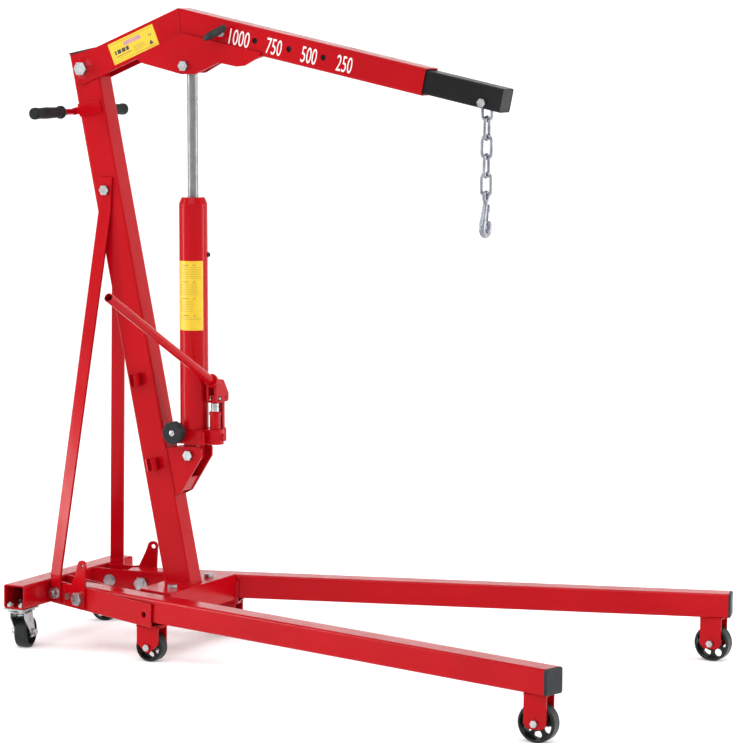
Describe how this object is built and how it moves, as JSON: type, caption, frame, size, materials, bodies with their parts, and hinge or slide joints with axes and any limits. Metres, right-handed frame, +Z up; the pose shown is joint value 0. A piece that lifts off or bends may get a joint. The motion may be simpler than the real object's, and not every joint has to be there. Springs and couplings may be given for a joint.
{
  "type": "engine hoist crane",
  "caption": "Folding shop crane: splayed wheeled legs, leaning mast with braces, cranked boom with sliding extension, hydraulic jack, chain and hook.",
  "frame": {"origin": "centre of the bounding box on the floor, between the two legs", "axes": "+X from the rear crossbar towards the front ends of the legs, +Y to the left, +Z up; the floor is Z = 0"},
  "size_m": [1.3851, 0.938, 1.328],
  "materials": {
    "red_paint": "gloss powder coat over steel",
    "black_paint": "satin black powder coat",
    "zinc": "bright zinc plate",
    "rod_steel": "ground and oiled steel rod",
    "chain_steel": "zinc plated, dull",
    "black_plastic": "moulded, satin",
    "grip_rubber": "moulded foam rubber",
    "wheel_plastic": "moulded nylon wheel"
  },
  "bodies": {
    "base": {"rear_crossbar": "red_paint", "leg_channel_left": "red_paint", "leg_channel_right": "red_paint", "stow_lugs": "red_paint", "mast_foot": "red_paint", "mast": "red_paint", "mast_cap": "black_plastic", "brace_left": "red_paint", "brace_right": "red_paint", "frame_bolts": "zinc", "pivot_bolts": "zinc", "push_handle": "red_paint", "handle_grips": "grip_rubber", "jack_bracket": "red_paint", "handle_clips": "red_paint", "middle_forks": "red_paint", "caster_plates": "zinc"},
    "leg_left": {"leg_left": "red_paint", "leg_cap_left": "black_plastic", "front_fork_left": "red_paint", "front_axle_left": "zinc"},
    "leg_right": {"leg_right": "red_paint", "leg_cap_right": "black_plastic", "front_fork_right": "red_paint", "front_axle_right": "zinc"},
    "boom": {"boom_rear": "red_paint", "boom_front": "red_paint", "ram_bracket": "red_paint", "rod_pin_bolts": "zinc"},
    "extension": {"boom_extension": "black_paint", "extension_cap": "black_plastic", "hook_bolt": "zinc"},
    "lock_pin": {"lock_pin": "zinc", "lock_pin_grip": "black_plastic"},
    "jack": {"jack_base": "red_paint", "jack_cylinder": "red_paint", "jack_head_nut": "red_paint", "pump_barrel": "red_paint", "pump_link": "red_paint"},
    "piston_rod": {"piston_rod": "rod_steel"},
    "pump_plunger": {"pump_plunger": "zinc"},
    "pump_lever": {"pump_lever_socket": "red_paint", "pump_handle_bar": "red_paint"},
    "release_knob": {"release_knob": "black_plastic"},
    "load_hook": {"load_hook": "chain_steel"},
    "hook_latch": {"hook_latch": "chain_steel"},
    "chain_link_1": {"chain_link_1": "chain_steel"},
    "chain_link_2": {"chain_link_2": "chain_steel"},
    "chain_link_3": {"chain_link_3": "chain_steel"},
    "chain_link_4": {"chain_link_4": "chain_steel"},
    "chain_link_5": {"chain_link_5": "chain_steel"},
    "front_wheel_left": {"front_wheel_left": "wheel_plastic"},
    "middle_wheel_left": {"middle_wheel_left": "wheel_plastic"},
    "caster_left": {"caster_fork_left": "zinc"},
    "caster_wheel_left": {"caster_wheel_left": "wheel_plastic"},
    "front_wheel_right": {"front_wheel_right": "wheel_plastic"},
    "middle_wheel_right": {"middle_wheel_right": "wheel_plastic"},
    "caster_right": {"caster_fork_right": "zinc"},
    "caster_wheel_right": {"caster_wheel_right": "wheel_plastic"}
  },
  "joints": [
    {"name": "boom_lift", "type": "hinge", "parent": "base", "child": "boom", "pos_m": [-0.59117, 0, 1.2], "axis": [0, -1, 0], "range_deg": [-42, 4]},
    {"name": "jack_tilt", "type": "hinge", "parent": "base", "child": "jack", "pos_m": [-0.33615, 0, 0.4087], "axis": [0, -1, 0], "range_deg": [-0.49, 5.17]},
    {"name": "jack_rod", "type": "slide", "parent": "jack", "child": "piston_rod", "axis": [-0.014, 0, 0.9999], "range_m": [-0.16256, 0.01548]},
    {"name": "boom_extension", "type": "slide", "parent": "boom", "child": "extension", "axis": [0.9815, 0, -0.1915], "range_m": [0, 0.24]},
    {"name": "lock_pin", "type": "slide", "parent": "boom", "child": "lock_pin", "axis": [0, -1, 0], "range_m": [0, 0.03]},
    {"name": "chain_link_1", "type": "hinge", "parent": "extension", "child": "chain_link_1", "pos_m": [0.32185, 0, 1.153], "axis": [0, 1, 0], "range_deg": [-10, 10]},
    {"name": "chain_link_2", "type": "hinge", "parent": "chain_link_1", "child": "chain_link_2", "pos_m": [0.32185, 0, 1.1177], "axis": [1, 0, 0], "range_deg": [-12, 12]},
    {"name": "chain_link_3", "type": "hinge", "parent": "chain_link_2", "child": "chain_link_3", "pos_m": [0.32185, 0, 1.0808], "axis": [0, 1, 0], "range_deg": [-12, 12]},
    {"name": "chain_link_4", "type": "hinge", "parent": "chain_link_3", "child": "chain_link_4", "pos_m": [0.32185, 0, 1.0439], "axis": [1, 0, 0], "range_deg": [-12, 12]},
    {"name": "chain_link_5", "type": "hinge", "parent": "chain_link_4", "child": "chain_link_5", "pos_m": [0.32185, 0, 1.007], "axis": [0, 1, 0], "range_deg": [-12, 12]},
    {"name": "load_hook", "type": "hinge", "parent": "chain_link_5", "child": "load_hook", "pos_m": [0.32185, 0, 0.9701], "axis": [1, 0, 0], "range_deg": [-12, 12]},
    {"name": "hook_latch", "type": "hinge", "parent": "load_hook", "child": "hook_latch", "pos_m": [0.32185, 0.009, 0.9499], "axis": [1, 0, 0], "range_deg": [-16, 0], "stiffness_Nm_per_rad": 0.02},
    {"name": "leg_left_fold", "type": "hinge", "parent": "base", "child": "leg_left", "pos_m": [-0.51936, 0.10902, 0.1085], "axis": [0.2689, -0.9632, 0], "range_deg": [0, 90]},
    {"name": "leg_right_fold", "type": "hinge", "parent": "base", "child": "leg_right", "pos_m": [-0.51936, -0.10902, 0.1085], "axis": [-0.2689, -0.9632, 0], "range_deg": [0, 55]},
    {"name": "front_wheel_left", "type": "hinge", "parent": "leg_left", "child": "front_wheel_left", "pos_m": [0.65135, 0.43589, 0.0375], "axis": [0, 1, 0], "continuous": true},
    {"name": "middle_wheel_left", "type": "hinge", "parent": "base", "child": "middle_wheel_left", "pos_m": [-0.34315, 0.15822, 0.0305], "axis": [0, 1, 0], "continuous": true},
    {"name": "caster_swivel_left", "type": "hinge", "parent": "base", "child": "caster_left", "pos_m": [-0.64115, 0.188, 0.075], "axis": [0, 0, 1], "continuous": true},
    {"name": "caster_wheel_left", "type": "hinge", "parent": "caster_left", "child": "caster_wheel_left", "pos_m": [-0.66006, 0.17322, 0.0325], "axis": [0.6157, -0.788, 0], "continuous": true},
    {"name": "front_wheel_right", "type": "hinge", "parent": "leg_right", "child": "front_wheel_right", "pos_m": [0.65135, -0.43589, 0.0375], "axis": [0, 1, 0], "continuous": true},
    {"name": "middle_wheel_right", "type": "hinge", "parent": "base", "child": "middle_wheel_right", "pos_m": [-0.34315, -0.15822, 0.0305], "axis": [0, 1, 0], "continuous": true},
    {"name": "caster_swivel_right", "type": "hinge", "parent": "base", "child": "caster_right", "pos_m": [-0.64115, -0.188, 0.075], "axis": [0, 0, 1], "continuous": true},
    {"name": "caster_wheel_right", "type": "hinge", "parent": "caster_right", "child": "caster_wheel_right", "pos_m": [-0.64573, -0.16444, 0.0325], "axis": [-0.9816, -0.1908, 0], "continuous": true},
    {"name": "pump_lever", "type": "hinge", "parent": "jack", "child": "pump_lever", "pos_m": [-0.28882, 0.027, 0.52837], "axis": [0.9999, 0, 0.014], "range_deg": [0, 30]},
    {"name": "pump_plunger", "type": "slide", "parent": "jack", "child": "pump_plunger", "axis": [0.014, 0, -0.9999], "range_m": [0, 0.0156]},
    {"name": "release_knob", "type": "hinge", "parent": "jack", "child": "release_knob", "pos_m": [-0.35683, -0.06, 0.45742], "axis": [0, -1, 0], "range_deg": [0, 180]}
  ],
  "couplings": [
    {"joint": "jack_tilt", "follows": "boom_lift", "ratio": -0.12306},
    {"joint": "jack_rod", "follows": "boom_lift", "m_per_rad": 0.22176},
    {"joint": "pump_plunger", "follows": "pump_lever", "m_per_rad": 0.02979}
  ]
}
